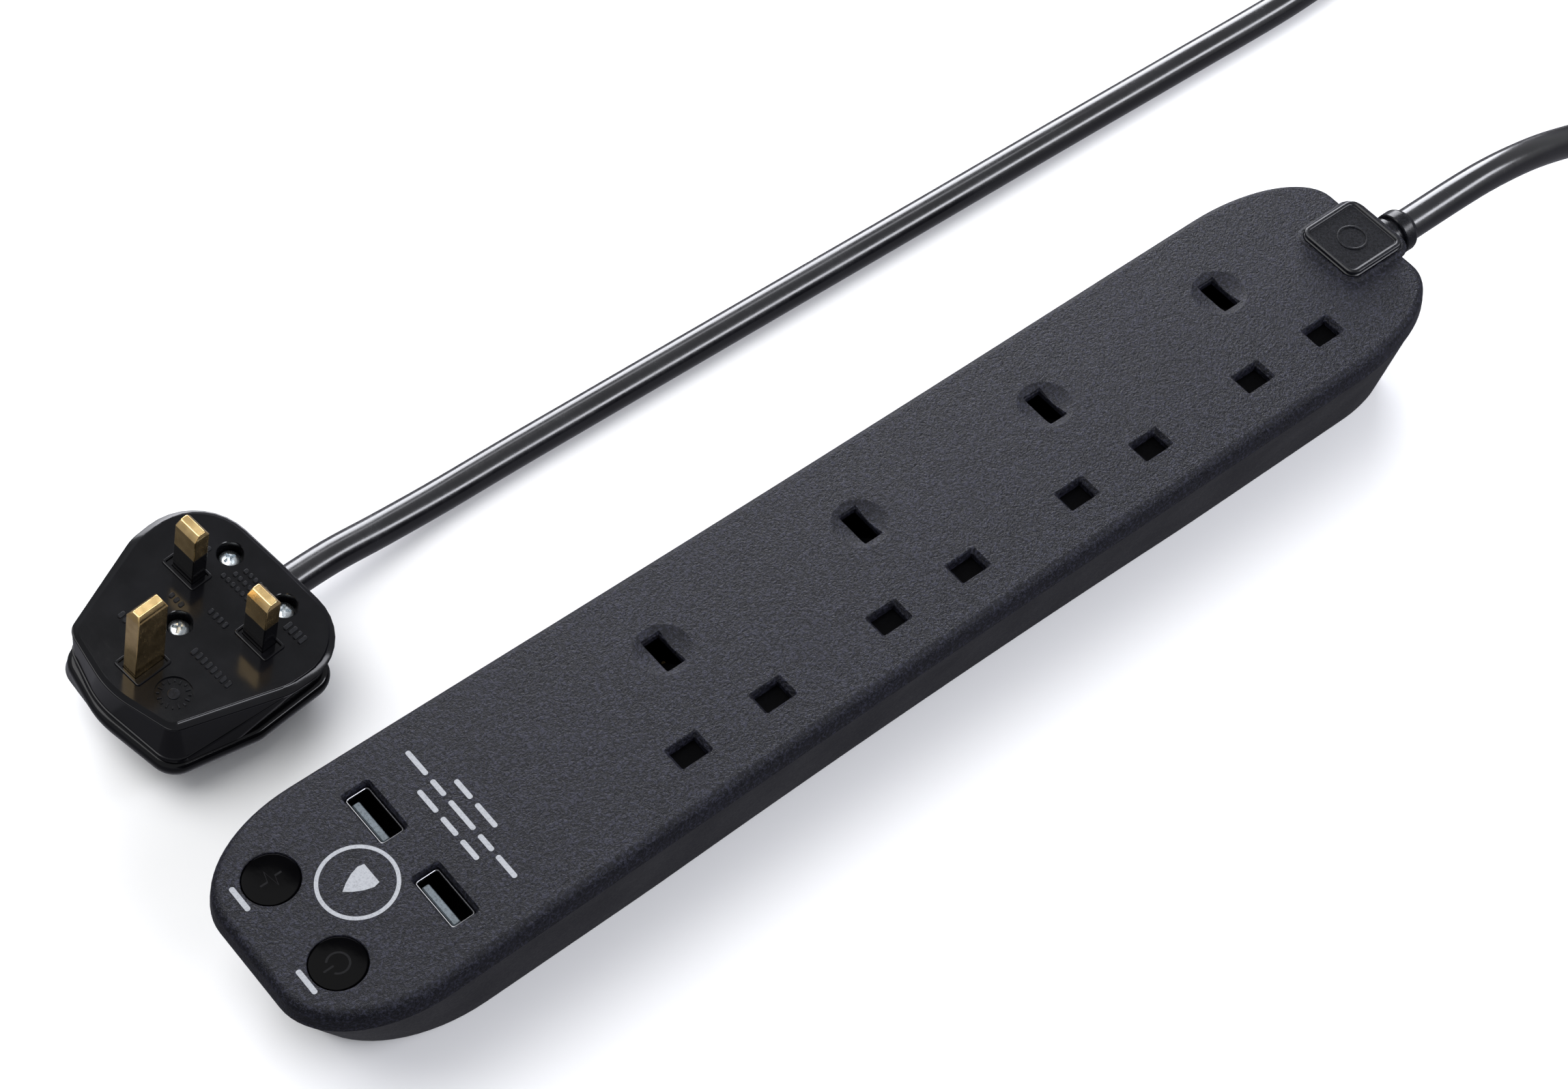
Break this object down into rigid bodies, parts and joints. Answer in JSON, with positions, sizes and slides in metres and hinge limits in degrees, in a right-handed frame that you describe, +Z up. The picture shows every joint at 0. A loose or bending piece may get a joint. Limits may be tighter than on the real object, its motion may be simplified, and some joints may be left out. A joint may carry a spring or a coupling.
{
  "type": "power strip",
  "caption": "Flat-topped mains extension block with rounded ends, shuttered three-pin sockets in a row, USB charging ports, indicator lenses and a coiled lead with a fused plug.",
  "frame": {"origin": "centre of the casing's underside, on the surface it stands on", "axes": "+X along the casing towards the mains lead, +Y towards the earth apertures, +Z up"},
  "size_m": [0.556, 0.1359, 0.0485],
  "materials": {
    "grained_black": "fine spark-eroded grain",
    "satin_black": "satin",
    "gloss_black": "gloss",
    "lead_black": "satin pvc",
    "white_nylon": "satin",
    "grey_nylon": "satin",
    "brass": "drawn and bevelled",
    "zinc": "zinc plated",
    "spring_steel": "drawn wire",
    "board_green": "solder resist",
    "varistor_blue": "epoxy coated",
    "ceramic": "glazed",
    "dark_component": "moulded",
    "core_brown": "pvc insulation",
    "core_blue": "pvc insulation",
    "core_green": "pvc insulation, green and yellow"
  },
  "bodies": {
    "casing": {"top_cover": "grained_black", "base": "satin_black", "casing_screw_1": "zinc", "casing_screw_2": "zinc", "casing_screw_3": "zinc", "casing_screw_4": "zinc", "casing_screw_5": "zinc", "shutter_spring_1": "spring_steel", "shutter_spring_2": "spring_steel", "shutter_spring_3": "spring_steel", "shutter_spring_4": "spring_steel", "live_busbar": "brass", "neutral_busbar": "brass", "earth_busbar": "brass", "surge_indicator_lens": "gloss_black", "surge_led": "ceramic", "power_indicator_lens": "gloss_black", "power_led": "ceramic", "usb_shell_1": "zinc", "usb_tongue_1": "grey_nylon", "usb_shell_2": "zinc", "usb_tongue_2": "grey_nylon", "charger_board": "board_green", "charger_transformer": "dark_component", "charger_capacitor": "dark_component", "surge_board": "board_green", "varistor_1": "varistor_blue", "varistor_2": "varistor_blue", "varistor_3": "varistor_blue", "thermal_fuse": "ceramic", "cord_anchor": "satin_black", "live_core": "core_brown", "live_board_lead": "core_brown", "neutral_core": "core_blue", "neutral_board_lead": "core_blue", "earth_core": "core_green", "earth_board_lead": "core_green", "plug_base": "gloss_black", "plug_cover": "gloss_black", "plug_earth_pin": "brass", "plug_live_pin": "brass", "plug_live_pin_sleeve": "satin_black", "plug_neutral_pin": "brass", "plug_neutral_pin_sleeve": "satin_black", "plug_cover_screw": "zinc", "cord_grip_screw_1": "zinc", "cord_grip_screw_2": "zinc", "plug_cord_grip": "white_nylon", "plug_fuse": "ceramic", "fuse_clip_live": "brass", "fuse_clip_line": "brass", "mains_lead_casing_end": "lead_black", "mains_lead_plug_end": "lead_black", "mains_lead_coil": "lead_black"},
    "shutter_1": {"socket_shutter_1": "satin_black"},
    "shutter_2": {"socket_shutter_2": "satin_black"},
    "shutter_3": {"socket_shutter_3": "satin_black"},
    "shutter_4": {"socket_shutter_4": "satin_black"}
  },
  "joints": [
    {"name": "shutter_1_slide", "type": "slide", "parent": "casing", "child": "shutter_1", "axis": [0, -1, 0], "range_m": [0, 0.0058], "stiffness_N_per_m": 50, "springref_m": -0.003, "deforming": ["shutter_spring_1"]},
    {"name": "shutter_2_slide", "type": "slide", "parent": "casing", "child": "shutter_2", "axis": [0, -1, 0], "range_m": [0, 0.0058], "stiffness_N_per_m": 50, "springref_m": -0.003, "deforming": ["shutter_spring_2"]},
    {"name": "shutter_3_slide", "type": "slide", "parent": "casing", "child": "shutter_3", "axis": [0, -1, 0], "range_m": [0, 0.0058], "stiffness_N_per_m": 50, "springref_m": -0.003, "deforming": ["shutter_spring_3"]},
    {"name": "shutter_4_slide", "type": "slide", "parent": "casing", "child": "shutter_4", "axis": [0, -1, 0], "range_m": [0, 0.0058], "stiffness_N_per_m": 50, "springref_m": -0.003, "deforming": ["shutter_spring_4"]}
  ]
}
